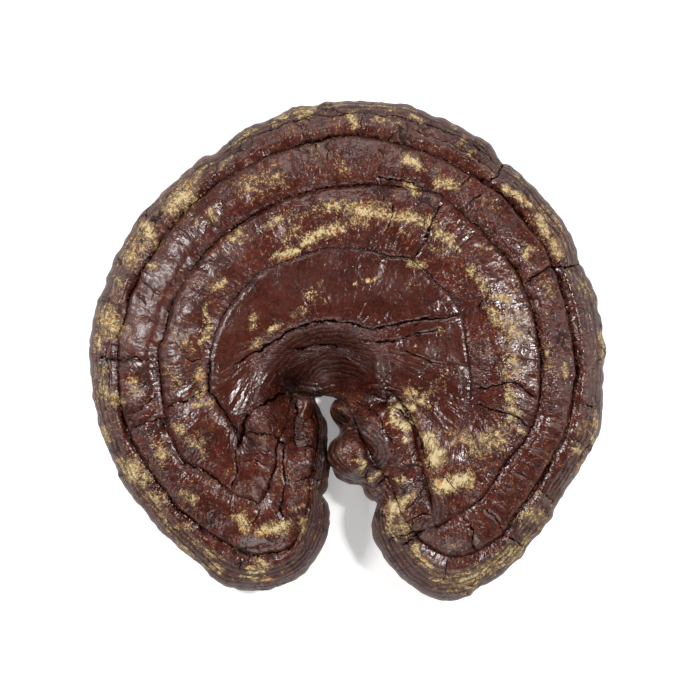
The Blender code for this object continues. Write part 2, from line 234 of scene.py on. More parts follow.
# Straw-coloured powder: half-width, strength, then x and y of each point the patch is stretched over.
POWDER = (
    (2.4, 0.9, -44, 44.5, -41.5, 46), (1.8, 0.8, -31, 49, -24, 52), (1.6, 0.6, -20, 52.5, -10, 55.5),
    (1.8, 0.85, -10, 55.5, 1, 57), (2.2, 1.05, -16.5, 42.5, -3, 48.5), (1.8, 1.15, -26.5, 37, -19, 38.8),
    (2.6, 0.55, -23.5, 44, -20, 47), (4.5, 0.6, -40, 64, -28, 67), (2.0, 0.6, -3, 73.5, -1, 71),
    (2.5, 0.4, -14, 77, -6, 76), (4.2, 0.95, -69.5, 57.5, -63, 60.5), (2.2, 0.75, -66.5, 63, -61.5, 65.5),
    (2.6, 0.95, -79.5, 48.5, -77.5, 46), (2.0, 0.8, -76, 42.5, -74.5, 41.5),
    (4.5, 0.75, -84.5, 37.5, -81.5, 44), (1.6, 1.0, -78.5, 33.8, -76, 33), (1.8, 0.8, -91.5, 27, -90, 25),
    (3.8, 0.9, -94.5, 13.5, -91, 9), (1.4, 0.85, -53, 54.5, -52, 51), (1.2, 0.85, -59.5, 51.5, -58.5, 50.5),
    (1.4, 1.0, -53, 24, -48.5, 26.5), (1.4, 0.95, -55, 16.5, -53.5, 8.5, -57, 1.5),
    (3.0, 0.55, -65, 6, -63, 2), (1.8, 0.95, -15, 21, -13, 22), (0.6, 0.8, -14, 21.5, -9, 26),
    (0.7, 0.7, -12.5, 20.5, -8.5, 18.5), (1.2, 1.05, -30.5, 7, -27, 9.5), (0.9, 0.85, -21, 13, -17, 15),
    (1.3, 0.9, -36.5, 10, -35.5, 12.5), (1.1, 0.95, -37, 2, -34, 3.6), (2.2, 0.95, -29.5, 90.5, -26.5, 91.5),
    (1.8, 0.8, -19, 94, -13, 95.5), (1.4, 0.7, -7, 96, -1, 97), (1.1, 0.95, -49.5, 80, -36, 87),
    (0.9, 0.85, -61.5, 66, -55, 73.5), (1.2, 0.6, -49, 73.5, -46, 75), (1.4, 0.85, -98, 5, -99, 1),
    (2.6, 1.0, 1.5, 56, 16.5, 53), (3.2, 0.7, 1, 52.5, 8, 51.5), (2.0, 1.0, 21, 52.5, 32, 50.5),
    (2.3, 1.0, 35.5, 46, 40, 43), (2.0, 0.5, 20.5, 47, 24, 46), (1.1, 0.65, 32.5, 41, 38, 37),
    (2.4, 1.05, 23.5, 74.5, 27, 72.5), (2.3, 1.0, 36.5, 66, 39, 65), (1.5, 0.75, 42.5, 64.5, 45, 66),
    (1.5, 0.95, 24.5, 64, 26.5, 62), (1.8, 0.95, 1.5, 92, 4, 88.5), (1.4, 0.6, 11, 91.5, 20, 89),
    (0.8, 0.95, 25, 91.8, 29, 90.6), (0.8, 0.85, 41, 88.8, 43, 88), (0.8, 0.9, 45.5, 83.7, 47, 83),
    (2.2, 0.5, 44, 80, 50, 77), (1.4, 1.0, 61, 63.5, 66, 61.5, 72, 57), (2.1, 1.05, 76, 51, 78.5, 46),
    (2.4, 0.8, 81, 42, 83, 38.5), (1.0, 0.85, 66.5, 69.5, 72, 65), (1.1, 0.9, 78.5, 56, 86, 47.5),
    (2.0, 0.5, 55, 58.5, 57.5, 57), (1.7, 0.95, 69, 37, 72.5, 39.5), (3.4, 0.6, 77, 26, 80, 23.5),
    (2.8, 0.5, 88, 28, 90, 26), (3.2, 0.75, 94, 25, 96, 21.5), (1.7, 0.8, 48, 32.5, 54.5, 23.5),
    (1.7, 0.95, 58, 21.5, 63.5, 19), (1.6, 1.05, 55.5, 15, 59.5, 11), (5.2, 0.8, 64, 10.5, 66, 6.5),
    (2.9, 0.7, 63, 0, 66, -7), (1.6, 1.05, 25, 35, 29, 33), (1.4, 0.55, 24, 25, 26, 26),
    (0.4, 1.2, 2, 25, 13.5, 29), (1.4, 0.75, 78, 1.5, 78.5, -7), (1.0, 0.85, 100.2, 6, 101.8, -3),
    (0.9, 0.9, 43.5, 39.5, 44.5, 39.5), (1.0, 0.9, 53.5, 40, 55.5, 40.3), (1.1, 0.85, 35.5, 7.5, 37.5, 6.5),
    (1.0, 0.95, 26.5, 1.6, 27.4, 0.6), (1.8, 0.85, -57, -9.5, -57, -14.5), (2.6, 0.55, -69.5, -8, -65.5, -13),
    (3.0, 0.9, -96, -16.5, -91, -19.5), (2.8, 0.7, -97, -11, -95.5, -8), (2.6, 0.7, -84.5, -12.5, -82.5, -16),
    (1.5, 0.95, -96, -31.5, -94.8, -36), (0.8, 0.95, -60, -22, -52, -19.5), (1.3, 0.75, -59, -17.5, -57, -18),
    (1.9, 1.0, -67, -30, -65.5, -31.5), (2.3, 0.75, -61.5, -34.5, -57, -37),
    (1.0, 0.75, -56.3, -40, -56, -42), (2.1, 1.0, -74, -38.5, -71.8, -42),
    (1.5, 0.85, -90, -44.5, -88.5, -46), (3.9, 0.9, -85.5, -47.5, -80.5, -50.5),
    (2.9, 0.9, -77.5, -57.5, -74, -59.5), (1.5, 0.85, -74, -66, -70, -70.5),
    (2.1, 1.0, -62.5, -57, -60.5, -58.5), (2.2, 0.6, -65, -70, -63, -71),
    (1.9, 0.6, -59, -75.5, -53.5, -80.5), (2.2, 1.0, -41.5, -65.5, -40.5, -69),
    (2.5, 1.15, -34, -71.3, -24, -69), (1.6, 0.9, -17, -66.5, -17, -70.5), (1.7, 1.0, -34, -84.2, -32, -84.8),
    (1.4, 0.75, -38.5, -87, -33, -87.5), (0.6, 0.95, -43, -89.6, -30, -91.6),
    (1.2, 0.75, -49.5, -87, -53.5, -85.5), (0.8, 0.85, -66.5, -77.5, -56, -86.5),
    (0.8, 0.95, -16.5, -54.5, -15.5, -54.5), (0.5, 0.95, -21.5, -62, -19, -60.7, -16.5, -61.3),
    (1.3, 1.2, 17.6, -27.5, 17.8, -23.8, 21, -22.2, 25.5, -22.6),
    (1.3, 1.2, 20, -28.6, 24.2, -30.4, 25.6, -27), (3.4, 0.62, 21, -25.5, 23.5, -27),
    (1.0, 1.2, 22.8, -34, 23.2, -35.4), (3.5, 0.9, 25.5, -17, 28.5, -19), (1.9, 0.75, 35.5, -12, 30.5, -19),
    (1.4, 0.6, 38, -10, 41, -7.5), (2.3, 1.2, 31.4, -33, 32.6, -37), (2.9, 1.35, 34, -42.5, 35.5, -40.5),
    (2.7, 1.35, 35.5, -52.5, 42, -51.5, 46, -50), (3.2, 0.7, 40, -35, 45, -33, 49, -36),
    (2.1, 1.0, 52.5, -34, 58, -31.5), (3.4, 0.72, 51, -39, 59.5, -37, 62, -30),
    (1.2, 0.8, 63, -26, 67, -24, 66.5, -29), (1.0, 0.95, 67.5, -30.5, 69.5, -33.5),
    (2.5, 0.85, 63.5, -17, 63.5, -23.5), (1.7, 0.65, 61.5, -6.5, 63.5, -12.5),
    (0.9, 0.95, 86, -6.5, 86, -9.5), (0.8, 0.9, 98.6, -23.5, 98, -37), (1.4, 0.85, 89, -40, 91, -39.5),
    (1.6, 0.95, 96.2, -41.5, 90, -51.5), (1.8, 0.5, 76, -56, 77, -58), (3.2, 0.75, 70.5, -65, 74, -66),
    (2.3, 0.9, 73, -75, 69, -80), (1.5, 0.95, 40.5, -76, 42.5, -76), (1.5, 1.05, 26, -78, 32.5, -85.5),
    (3.9, 0.85, 45.5, -92.5, 56.5, -87, 65, -82), (2.0, 0.65, 36.5, -91.5, 41, -91.5),
    (1.5, 1.2, 17.6, -63, 19.5, -59.2, 26, -56.4), (1.0, 1.1, 19.5, -63.5, 24, -60),
    (0.9, 0.95, 16.6, -66, 17.5, -71, 20, -75), (4.4, 0.62, 22, -65, 22.5, -70),
    (1.2, 1.05, 20, -51.5, 21.5, -51), (0.7, 1.1, 5.6, -44.5, 5.2, -46, 6, -47.5),
    (1.0, 1.1, 10.5, -49.5, 11.8, -48.5), (0.7, 0.65, 5, 96.7, 25, 95.2),
    (0.5, 1.0, -6.2, -21.5, -6.4, -24.5, -5.4, -27),
)

# How far the powder's outlines wander, and how far strokes reach past their half-widths.
POWDER_WANDER = 1.8
POWDER_WIDEN = 1.25
POWDER_SOFTEN = 0.3
POLISH_WIDEN = 1.2

# Polished places on the lacquer: half-width, strength, then x and y of each point they run through.
POLISH = (
    (1.6, 0.35, -68, 6, -62, 22, -52.5, 38, -44.5, 44), (4.2, 1.0, 58, 46, 64, 38, 71, 25),
    (4.0, 1.0, 47, 58, 51, 54), (4.5, 0.9, 38, 27, 42, 24), (3.2, 0.9, 48, 33, 55.5, 21),
    (3.4, 1.0, 49, 6, 51, -4, 52, -11), (3.2, 1.0, 76, 14, 78.5, 0, 78, -20), (2.2, 0.8, 90.5, 2, 90.5, -16),
    (4.0, 0.8, 60, -9, 63, -13), (5.5, 1.0, -35.5, -24, -33, -30), (3.2, 0.9, -79, -33, -74.5, -46),
    (3.2, 0.9, -68.5, -22, -62.5, -36), (3.0, 0.8, -71, -52, -68, -55), (2.4, 0.6, -68, 44, -64.5, 48),
    (3.2, 0.7, -81, -22, -76, -22), (4.5, 0.9, 2, -3, 5, -14), (5.0, 0.9, 10, 5, 19, 7),
    (4.0, 0.7, 33, -20, 46, -18), (3.0, 0.8, 66, -36, 58, -50, 51, -58), (3.0, 0.7, 48, -68, 43, -72),
    (2.6, 0.6, -13, -28, -12, -46), (2.6, 0.7, -20, -46, -20, -58), (2.4, 0.3, -56, 8, -55, -8),
    (3.0, 0.6, 28, -58, 31, -50), (4.0, 0.6, 10, -26, 15, -36),
)

# Warm orange-brown stains: centre, half-sizes and strength.
STAINS = (
    ((-44.5, -5), (7.5, 20), 1.0),
    ((-39, 13), (8, 9), 0.6),
    ((-39, -14), (5, 8), 0.8),
    ((36, -1), (8, 8), 0.6),
    ((-63, -10), (7, 9), 0.35),
    ((-24, 0), (9, 12), 0.15),
    ((58, -45), (12, 9), 0.25),
    ((64, 22), (7, 12), 0.3),
    ((-60, 20), (8, 12), 0.35),
    ((50, -72), (14, 6), 0.25),
)

# Calm places, where the lacquer is smoother: centre, half-sizes and strength.
CALM = (
    ((-70, 28), (26, 42), 0.85),
    ((5, 84), (60, 16), 0.4),
    ((0, 28), (36, 12), 0.5),
)

# Painted shade in the hollow and its pockets: centre, half-sizes and strength.
SHADES = (
    ((-4, -6), (19, 12), 0.12),
    ((-22, -13), (6, 6), 0.9),
    ((-11, -18), (5, 3.5), 0.8),
    ((14, -19), (4, 3.5), 0.8),
    ((-10, -40), (2.5, 20), 0.5),
)

# Cracks are drawn at this share of their half-width, cut over this width, and run out over this length.
CRACK_SHARE = 0.54
CRACK_CUT = 0.7
CRACK_TAPER = 2.2

# Furrows: growth-line number, depth and half-width of the dark line. Beside each cut the crust swells or
# sinks: by what height, how far outward, and over what width.
FURROWS = ((1, 0.6, 0.16), (2, 1.0, 0.25), (3, 1.1, 0.25))
FURROW_CUT = 0.6
FURROW_SWELLS = ((-0.2, 0, 1.6), (0.5, -2.2, 1.2), (0.1, 2.6, 1.5))

# Fine growth lines around knobs and lobe heads: centre, radius, spacing and strength.
LOCAL_RINGS = (
    ((5.5, -39.5), 12.5, 1.7, 0.95),
    ((27, -62), 12.5, 1.7, 0.6),
    ((-0.2, -24.5), 4.8, 1.4, 0.9),
    ((11.5, -49.5), 3.6, 1.5, 0.5),
)
# Growth lines on the margin: their spacing at its edge, the power that widens it further in, and where
# and how far apart they go on down the side.
LAYER_PERIOD = 1.25
LAYER_BEND = 0.85
SIDE_START = 3.5
SIDE_PERIOD = 2.3
# Growth lines in the hollow are ovals round the stem: centre, how much wider than deep, and spacing.
SWIRL_CENTRE = (-3, -16)
SWIRL_STRETCH = 1.3
SWIRL_PERIOD = 1.75
# How far apart the stations lie in each zone from the hollow out, against the third furrow.
ZONE_SPREAD = (0.25, 0.36, 0.62, 0.85, 1.0)

# Heights of the crust's own unevenness, from broad to fine, and of the waves and nicks of its edge.
BROAD_SWELL = 0.6
BAND_SWELL = 0.35
LAYER_STEP = 0.35
WRINKLE_HEIGHT = 0.36
PEBBLE_HEIGHT = 0.3
EDGE_WAVE = 0.7
EDGE_NICK = 0.45

random_table = np.random.default_rng(SEED).random((256, 256))


# ---------------------------------------------------------------- small maths
def smooth_step(low, high, value):
    """0 below low, 1 above high, with a smooth change between."""
    share = np.clip((value - low) / (high - low), 0, 1)
    return share * share * (3 - 2 * share)


def noise(x, y, layer):
    """Smooth value noise from 0 to 1 with cells one unit across."""
    x = x + 37.0 * layer
    y = y + 71.0 * layer
    column = np.floor(x).astype(int)
    row = np.floor(y).astype(int)
    across = x - column
    along = y - row
    across = across * across * (3 - 2 * across)
    along = along * along * (3 - 2 * along)
    left, right = column % 256, (column + 1) % 256
    low, high = row % 256, (row + 1) % 256
    below = random_table[left, low] * (1 - across) + random_table[right, low] * across
    above = random_table[left, high] * (1 - across) + random_table[right, high] * across
    return below * (1 - along) + above * along


def rough_noise(x, y, layer, octaves=3):
    """Several octaves of noise, from -1 to 1."""
    total = 0
    weight = 1.0
    whole = 0
    for octave in range(octaves):
        total = total + weight * (noise(x * 2**octave, y * 2**octave, layer + octave) * 2 - 1)
        whole += weight
        weight *= 0.5
    return total / whole


def smooth_profile(knots, value):
    """A smooth curve of height through (place, height) knots."""
    places, heights = np.array(knots, float).T
    slopes = np.gradient(heights, places)
    index = np.clip(np.searchsorted(places, value, side="right") - 1, 0, len(places) - 2)
    width = places[index + 1] - places[index]
    share = np.clip((value - places[index]) / width, 0, 1)
    square, cube = share**2, share**3
    return (
        heights[index] * (2 * cube - 3 * square + 1)
        + slopes[index] * width * (cube - 2 * square + share)
        + heights[index + 1] * (3 * square - 2 * cube)
        + slopes[index + 1] * width * (cube - square)
    )


def soft_least(a, b):
    """The lower of two heights, with a rounded change from one to the other."""
    share = np.maximum(RIM_BLEND - np.abs(a - b), 0) / RIM_BLEND
    return np.minimum(a, b) - share * share * RIM_BLEND / 4


# ---------------------------------------------------------------- the loft
def closed_curve(points):
    """A Catmull-Rom curve through all points and back, with the same number of steps in each gap."""
    before, after, beyond = np.roll(points, 1, 0), np.roll(points, -1, 0), np.roll(points, -2, 0)
    share = (np.arange(CURVE_STEPS) / CURVE_STEPS)[None, :, None]
    square, cube = share**2, share**3
    path = (
        points[:, None] * (2 * cube - 3 * square + 1)
        + (after - before)[:, None] * 0.5 * (cube - 2 * square + share)
        + after[:, None] * (3 * square - 2 * cube)
        + (beyond - points)[:, None] * 0.5 * (cube - square)
    )
    return path.reshape(-1, 2)


def growth_line(stretches):
    """Station points of one growth line, each stretch evenly divided."""
    path = closed_curve(np.array([p for stretch in stretches for p in stretch], float))
    path = np.vstack([path, path[:1]])
    found = []
    first = 0
    for stretch, amount in zip(stretches, STATIONS):
        last = first + len(stretch) * CURVE_STEPS
        part = path[first : last + 1]
        lengths = np.concatenate([[0], np.cumsum(np.linalg.norm(np.diff(part, axis=0), axis=1))])
        wanted = lengths[-1] * np.arange(amount) / amount
        found.append(np.stack([np.interp(wanted, lengths, part[:, axis]) for axis in (0, 1)], 1))
        first = last
    return np.vstack(found)


def stretch_shares(leaving, across, elsewhere):
    """A share for each station: on both inner edges a curve of the way out from the hollow, or set values."""
    shares = [np.full(amount, elsewhere) for amount in STATIONS]
    shares[LEFT_INNER] = leaving(np.arange(STATIONS[LEFT_INNER]) / STATIONS[LEFT_INNER])
    shares[RIGHT_INNER] = leaving(1 - np.arange(STATIONS[RIGHT_INNER]) / STATIONS[RIGHT_INNER])
    shares[ACROSS] = np.full(STATIONS[ACROSS], across)
    return np.concatenate(shares)


def inmost_shares():
    """The inmost furrow also runs out over the right lobe."""
    shares = [np.full(amount, 1.0) for amount in STATIONS]
    along = np.arange(STATIONS[RIGHT_LOBE]) / STATIONS[RIGHT_LOBE]
    shares[RIGHT_LOBE] = 1 - smooth_step(0.1, 0.7, along)
    shares[RIGHT_INNER] = np.zeros(STATIONS[RIGHT_INNER])
    return np.concatenate(shares)


LINES = np.array([growth_line(stretches) for stretches in GROWTH_LINES])
# How much each station belongs to the notch, fading over the lobe tips.
LIFT = stretch_shares(lambda along: 1 - along**3, 1.0, 0.0)
# Furrows run out where the growth lines close across the hollow.
FURROW_SHARE = stretch_shares(lambda along: smooth_step(0.02, 0.14, along), 0.0, 1.0)
INMOST_SHARE = inmost_shares()
COUNT = LINES.shape[1]
MIDDLE = LINES[0].mean(0)
MARGIN_GAP = np.linalg.norm(LINES[4] - LINES[3], axis=1)
ROLL = np.minimum(ROLL_WIDTH, ROLL_SHARE * MARGIN_GAP)
ROLL_ANGLES = np.linspace(ROLL_START, math.pi, ROLL_ROWS)


def places_at(row):
    """Plan positions at a growth-line number for each station. Below 0 they close on the middle."""
    row = np.broadcast_to(np.asarray(row, float), (COUNT,))
    inner = np.clip(np.floor(row).astype(int), 0, 3)
    share = (row - inner)[:, None]
    stations = np.arange(COUNT)
    outside = LINES[inner, stations] * (1 - share) + LINES[inner + 1, stations] * share
    inside = MIDDLE + (LINES[0] - MIDDLE) * (1 + row)[:, None]
    return np.where(row[:, None] < 0, inside, outside)


def top_height(row, plan):
    """Height of the top at plan positions on a growth line: the domed cap, cut by the hollow's bowl."""
    row = np.broadcast_to(np.asarray(row, float), (COUNT,))
    dome = smooth_profile(TOP_PROFILE, np.maximum(row, 0)) + NOTCH_LIFT * LIFT * np.maximum(row, 0) / 4
    across, along = ((plan - BOWL_CENTRE) / BOWL_RADIUS).T
    reach = np.hypot(across, along)
    bowl = BOWL_FLOOR + BOWL_RISE * reach**BOWL_POWER
    return soft_least(dome, bowl)


def crowded(amount):
    """Shares from 0 up to 1, closer together near both ends."""
    share = np.arange(amount) / amount
    return share - 0.06 * np.sin(2 * math.pi * share)


def base_rows():
    """All rows from the middle of the hollow over the margin to the stump, with growth and row marks."""
    rows, growth, marks = [], [], {}

    def add(plan, height, number):
        rows.append(np.column_stack([plan, np.broadcast_to(height, (COUNT,))]))
        growth.append(np.broadcast_to(number, (COUNT,)))

    def add_top(number):
        plan = places_at(number)
        add(plan, top_height(number, plan), number)

    for share in (np.arange(HOLLOW_ROWS) + 0.6) / HOLLOW_ROWS:
        add_top(share - 1)
    for band, amount in enumerate(BAND_ROWS):
        marks[band] = len(rows)
        for share in crowded(amount):
            add_top(band + share)
    marks[3] = len(rows)
    roll_row = 4 - ROLL / MARGIN_GAP
    for share in np.arange(OUTER_ROWS) / OUTER_ROWS:
        add_top(3 + share * (roll_row - 3))
    marks["roll"] = len(rows)
    high = top_height(roll_row, places_at(roll_row))
    middle = (high + EDGE_LOW) / 2
    for angle in ROLL_ANGLES:
        upper = angle < math.pi / 2
        inward = ROLL * (1 - math.sin(angle)) / (1 - math.sin(ROLL_START) if upper else 1)
        bend = math.cos(angle) / (math.cos(ROLL_START) if upper else 1)
        number = 4 - inward / MARGIN_GAP
        add(places_at(number), middle + (high - middle) * bend, number if upper else 4.0)
    marks["under"] = len(rows)
    for row, height in UNDER_ROWS:
        plan = places_at(np.minimum(row, 4 - UNDER_INSET * ROLL / MARGIN_GAP) if row > 3 else row)
        away = plan - STUMP_CENTRE
        beyond = np.maximum(np.hypot(away[:, 0], away[:, 1]) - STUMP_RADIUS, 0)
        add(plan, np.minimum(height, STUMP_START + STUMP_FLARE * beyond), 4.0)
    for share, height in zip(STUMP_SHARES, STUMP_HEIGHTS):
        add(MIDDLE + (LINES[0] - MIDDLE) * share, height, 4.0)
    return np.array(rows), np.array(growth), marks


def normals_of(grid):
    """Outward directions at the grid's points."""
    across = np.roll(grid, -1, 1) - np.roll(grid, 1, 1)
    along = np.gradient(grid, axis=0)
    normal = np.cross(across, along)
    return normal / np.maximum(np.linalg.norm(normal, axis=2, keepdims=True), 1e-9)


def line_distance(x, y, path):
    """Signed distance from a polyline, and the distance along it to its nearer end, at each place."""
    points = np.array(path, float).reshape(-1, 2)
    best = np.full(x.shape, 1e9)
    signed = np.zeros(x.shape)
    to_end = np.zeros(x.shape)
    lengths = np.linalg.norm(np.diff(points, axis=0), axis=1)
    whole = lengths.sum()
    before = 0.0
    for start, end, length in zip(points, points[1:], lengths):
        direction = (end - start) / length
        dx, dy = x - start[0], y - start[1]
        along = np.clip(dx * direction[0] + dy * direction[1], 0, length)
        gap = np.hypot(dx - along * direction[0], dy - along * direction[1])
        side = np.where(dx * direction[1] - dy * direction[0] >= 0, 1.0, -1.0)
        nearer = gap < best
        best = np.where(nearer, gap, best)
        signed = np.where(nearer, gap * side, signed)
        to_end = np.where(nearer, np.minimum(before + along, whole - before - along), to_end)
        before += length
    return signed, to_end


def lump_field(x, y):
    """Height that the lumps add and the pits take away."""
    height = np.zeros(x.shape)
    for (cx, cy), (half_x, half_y), turn, rise in LUMPS:
        c, s = math.cos(math.radians(turn)), math.sin(math.radians(turn))
        u = ((x - cx) * c + (y - cy) * s) / half_x
        v = (-(x - cx) * s + (y - cy) * c) / half_y
        height += rise * np.exp(-((u * u + v * v) ** 1.5))
    return height


def crack_fields(x, y):
    """Signed distance and half-width of the nearest crack, and the depth that cracks cut."""
    wander_x = x + 1.2 * rough_noise(x / 4, y / 4, 4) + 0.4 * rough_noise(x / 1.3, y / 1.3, 22)
    wander_y = y + 1.2 * rough_noise(x / 4, y / 4, 9) + 0.4 * rough_noise(x / 1.3, y / 1.3, 23)
    nearest = np.full(x.shape, 4.0)
    width = np.zeros(x.shape)
    depth = np.zeros(x.shape)
    for half, deep, *path in CRACKS:
        signed, to_end = line_distance(wander_x, wander_y, path)
        gap = np.abs(signed)
        ending = smooth_step(0, CRACK_TAPER, to_end)
        closer = gap < np.abs(nearest)
        nearest = np.where(closer, signed, nearest)
        width = np.where(closer, CRACK_SHARE * half * ending * (1 - smooth_step(1.1, 2.4, gap)), width)
        depth = np.maximum(depth, deep * ending * np.exp(-((gap / CRACK_CUT) ** 2)))
    return nearest, width, depth


def stroke_field(strokes, x, y, widen, soften):
    """The strongest stroke at each place, fading out over its half-width."""
    amount = np.zeros(x.shape)
    for half, strength, *path in strokes:
        signed, _ = line_distance(x, y, path)
        amount = np.maximum(amount, strength * np.exp(-((signed / (half * widen + soften)) ** 2)))
    return amount


def powder_field(x, y):
    """The powder's strokes, with outlines that wander."""
    warp_x = POWDER_WANDER * rough_noise(x / 5, y / 5, 21)
    warp_y = POWDER_WANDER * rough_noise(x / 5, y / 5, 25)
    return stroke_field(POWDER, x + warp_x, y + warp_y, POWDER_WIDEN, POWDER_SOFTEN)


def ovals(patches, x, y):
    """Each soft oval patch in turn, as its strength at each place."""
    for (cx, cy), (half_x, half_y), strength in patches:
        yield strength * np.exp(-(((x - cx) / half_x) ** 2) - ((y - cy) / half_y) ** 2)


def furrow_lift(reach, around, marks):
    """Height change at the three furrows, with the distance and half-width of the nearest one."""
    lift = np.zeros(reach.shape)
    gap_to = np.full(reach.shape, 9.0)
    width = np.zeros(reach.shape)
    flat = reach * 0
    for number, deep, half in FURROWS:
        gap = reach - reach[marks[number]] + 0.5 * rough_noise(around / 5, flat + number, 5)
        strength = (0.35 + 0.65 * noise(around / 17, flat + number, 6)) * FURROW_SHARE
        if number == 1:
            strength = strength * INMOST_SHARE
        lift -= deep * strength * np.exp(-((gap / FURROW_CUT) ** 2))
        for rise, outward, wide in FURROW_SWELLS:
            lift += rise * strength * np.exp(-(((gap - outward) / wide) ** 2))
        closer = np.abs(gap) < np.abs(gap_to)
        gap_to = np.where(closer, gap, gap_to)
        width = np.where(closer, half * strength * (1 - smooth_step(1.3, 2.6, np.abs(gap))), width)
    return lift, gap_to, width


def local_rings(x, y, phase, layers):
    """Turn the growth lines around each knob and lobe head, and fade them to nothing at their borders."""
    for (cx, cy), radius, period, share in LOCAL_RINGS:
        gap = np.hypot(x - cx, y - cy)
        near = gap < radius
        wobble = 0.5 * rough_noise(x / 5, y / 5, 15)
        phase = np.where(near, -gap / period + wobble, phase)
        band = smooth_step(0.3, 0.5, gap / radius) * (1 - smooth_step(0.8, 1.0, gap / radius))
        layers = np.where(near, share * band, layers)
    return phase, layers


def build_fields():
    """The displaced grid in millimetres and the fields that the materials read."""
    grid, growth, marks = base_rows()
    x, y = grid[:, :, 0], grid[:, :, 1]
    normal = normals_of(grid)
    steps = np.linalg.norm(np.diff(grid, axis=0), axis=2)
    reach = np.vstack([np.zeros((1, COUNT)), np.cumsum(steps, axis=0)])
    flat = reach * 0
    sides = np.linalg.norm(np.roll(LINES[3], -1, 0) - LINES[3], axis=1)
    around = np.broadcast_to(np.concatenate([[0], np.cumsum(sides)[:-1]]), x.shape)
    zone = np.clip(np.floor(growth + 1e-6), -1, 3).astype(int) + 1
    spread = around * np.array(ZONE_SPREAD)[zone]
    # 1 on the crust, fading to 0 at the underside, and how far each place is out on the edge
    top = np.ones(x.shape)
    top[marks["roll"] : marks["under"]] = smooth_step(-1.0, -0.5, np.cos(ROLL_ANGLES))[:, None]
    top[marks["under"] :] = 0
    edge = np.zeros(x.shape)
    edge[marks["roll"] : marks["under"]] = np.sin(ROLL_ANGLES)[:, None] ** 2
    outside = reach - reach[marks[3]]
    inset = MARGIN_GAP * (4 - growth)
    over_edge = np.maximum(reach - reach[marks["roll"]], 0)

    # broad shape and furrows
    lift = lump_field(x, y)
    lift += BROAD_SWELL * rough_noise(x / 15, y / 15, 2) + BAND_SWELL * rough_noise(around / 8, reach / 12, 3)
    furrows, ring_gap, ring_width = furrow_lift(reach, around, marks)
    lift += furrows

    # growth lines of the margin, the notch and the lobes, then of the hollow and the knobs
    layers = (1 - smooth_step(4.5, 9.0, inset)) * (0.7 + 0.3 * noise(around / 30, flat, 7))
    layers = np.where(growth < 3, 0, layers)
    layers = np.maximum(layers, LIFT * smooth_step(1, 3, outside))
    lower = smooth_step(-30, -80, y)
    layers = np.maximum(layers, lower * smooth_step(3, 6, outside))
    wobble = 0.45 * rough_noise(around / 15, reach / 9, 8) + 0.08 * rough_noise(around / 2.5, reach / 3, 18)
    phase = 60 - (inset + 0.9) ** LAYER_BEND / LAYER_PERIOD + wobble
    phase = phase + np.maximum(over_edge - SIDE_START, 0) / SIDE_PERIOD
    before_roll = np.ones(x.shape)
    before_roll[marks["roll"] :] = 0
    lift += (LAYER_STEP + LAYER_STEP * lower) * layers * before_roll * ((phase % 1.0) - 0.5)
    in_hollow = 1 - smooth_step(-0.25, 0.15, growth)
    swirl = np.hypot((x - SWIRL_CENTRE[0]) / SWIRL_STRETCH, y - SWIRL_CENTRE[1]) / SWIRL_PERIOD
    swirl += 0.7 * rough_noise(x / 9, y / 9, 11) + 0.6 * rough_noise(x / 2.8, y / 2.2, 19)
    phase = np.where(growth < 0.2, swirl, phase)
    layers = np.where(growth < 0.2, 0.7 * in_hollow, layers)
    phase, layers = local_rings(x, y, phase, layers)

    # wrinkles, pebbles and cracks
    wrinkled = smooth_step(0.6, 1.1, growth) * (0.25 + 0.75 * noise(x / 13, y / 13, 12))
    lift += WRINKLE_HEIGHT * wrinkled * rough_noise(spread / 2.1 + 40.0 * zone, reach / 7, 13, 2)
    lift += PEBBLE_HEIGHT * rough_noise(x / 3.6, y / 3.6, 14)
    crack_gap, crack_width, cut = crack_fields(x, y)
    lift -= cut

    wave = EDGE_WAVE * rough_noise(around / 9, flat, 16) + EDGE_NICK * rough_noise(around / 3, flat, 17, 2)
    grid = grid + normal * (lift * top + wave * edge)[:, :, None]
    # powder ends raggedly down the side, and painted shade darkens the furrows, the hollow and its pockets
    ragged = 6 * (noise(around / 6, flat, 24) - 0.5)
    dark = 0.2 * np.exp(-((ring_gap / 0.9) ** 2)) * smooth_step(0, 0.2, ring_width)
    for shade in ovals(SHADES, x, y):
        dark = np.maximum(dark, shade)
    fields = {
        "ring_gap": ring_gap,
        "ring_width": ring_width * top,
        "crack_gap": crack_gap,
        "crack_width": crack_width * top,
        "powder": powder_field(x, y) * top * (1 - smooth_step(3, 8, over_edge + ragged)),
        "dusty": (smooth_step(1, 6, outside) * 0.42 + 0.4 * smooth_step(0.8, 1.3, growth)) * top,
        "stain": np.minimum(sum(ovals(STAINS, x, y)), 1),
        "calm": np.minimum(sum(ovals(CALM, x, y)), 1),
        "polish": stroke_field(POLISH, x, y, POLISH_WIDEN, 0),
        "shade": dark * top,
        "deep": smooth_step(-0.1, 0.3, growth) * (1 - smooth_step(0.85, 1.1, growth)) * top,
        "layers": layers * top,
        "phase": phase,
        "wrinkled": wrinkled * top,
    }
    grain = np.stack([spread + 40.0 * zone, reach, flat], 2)
    return grid, grain, fields, marks


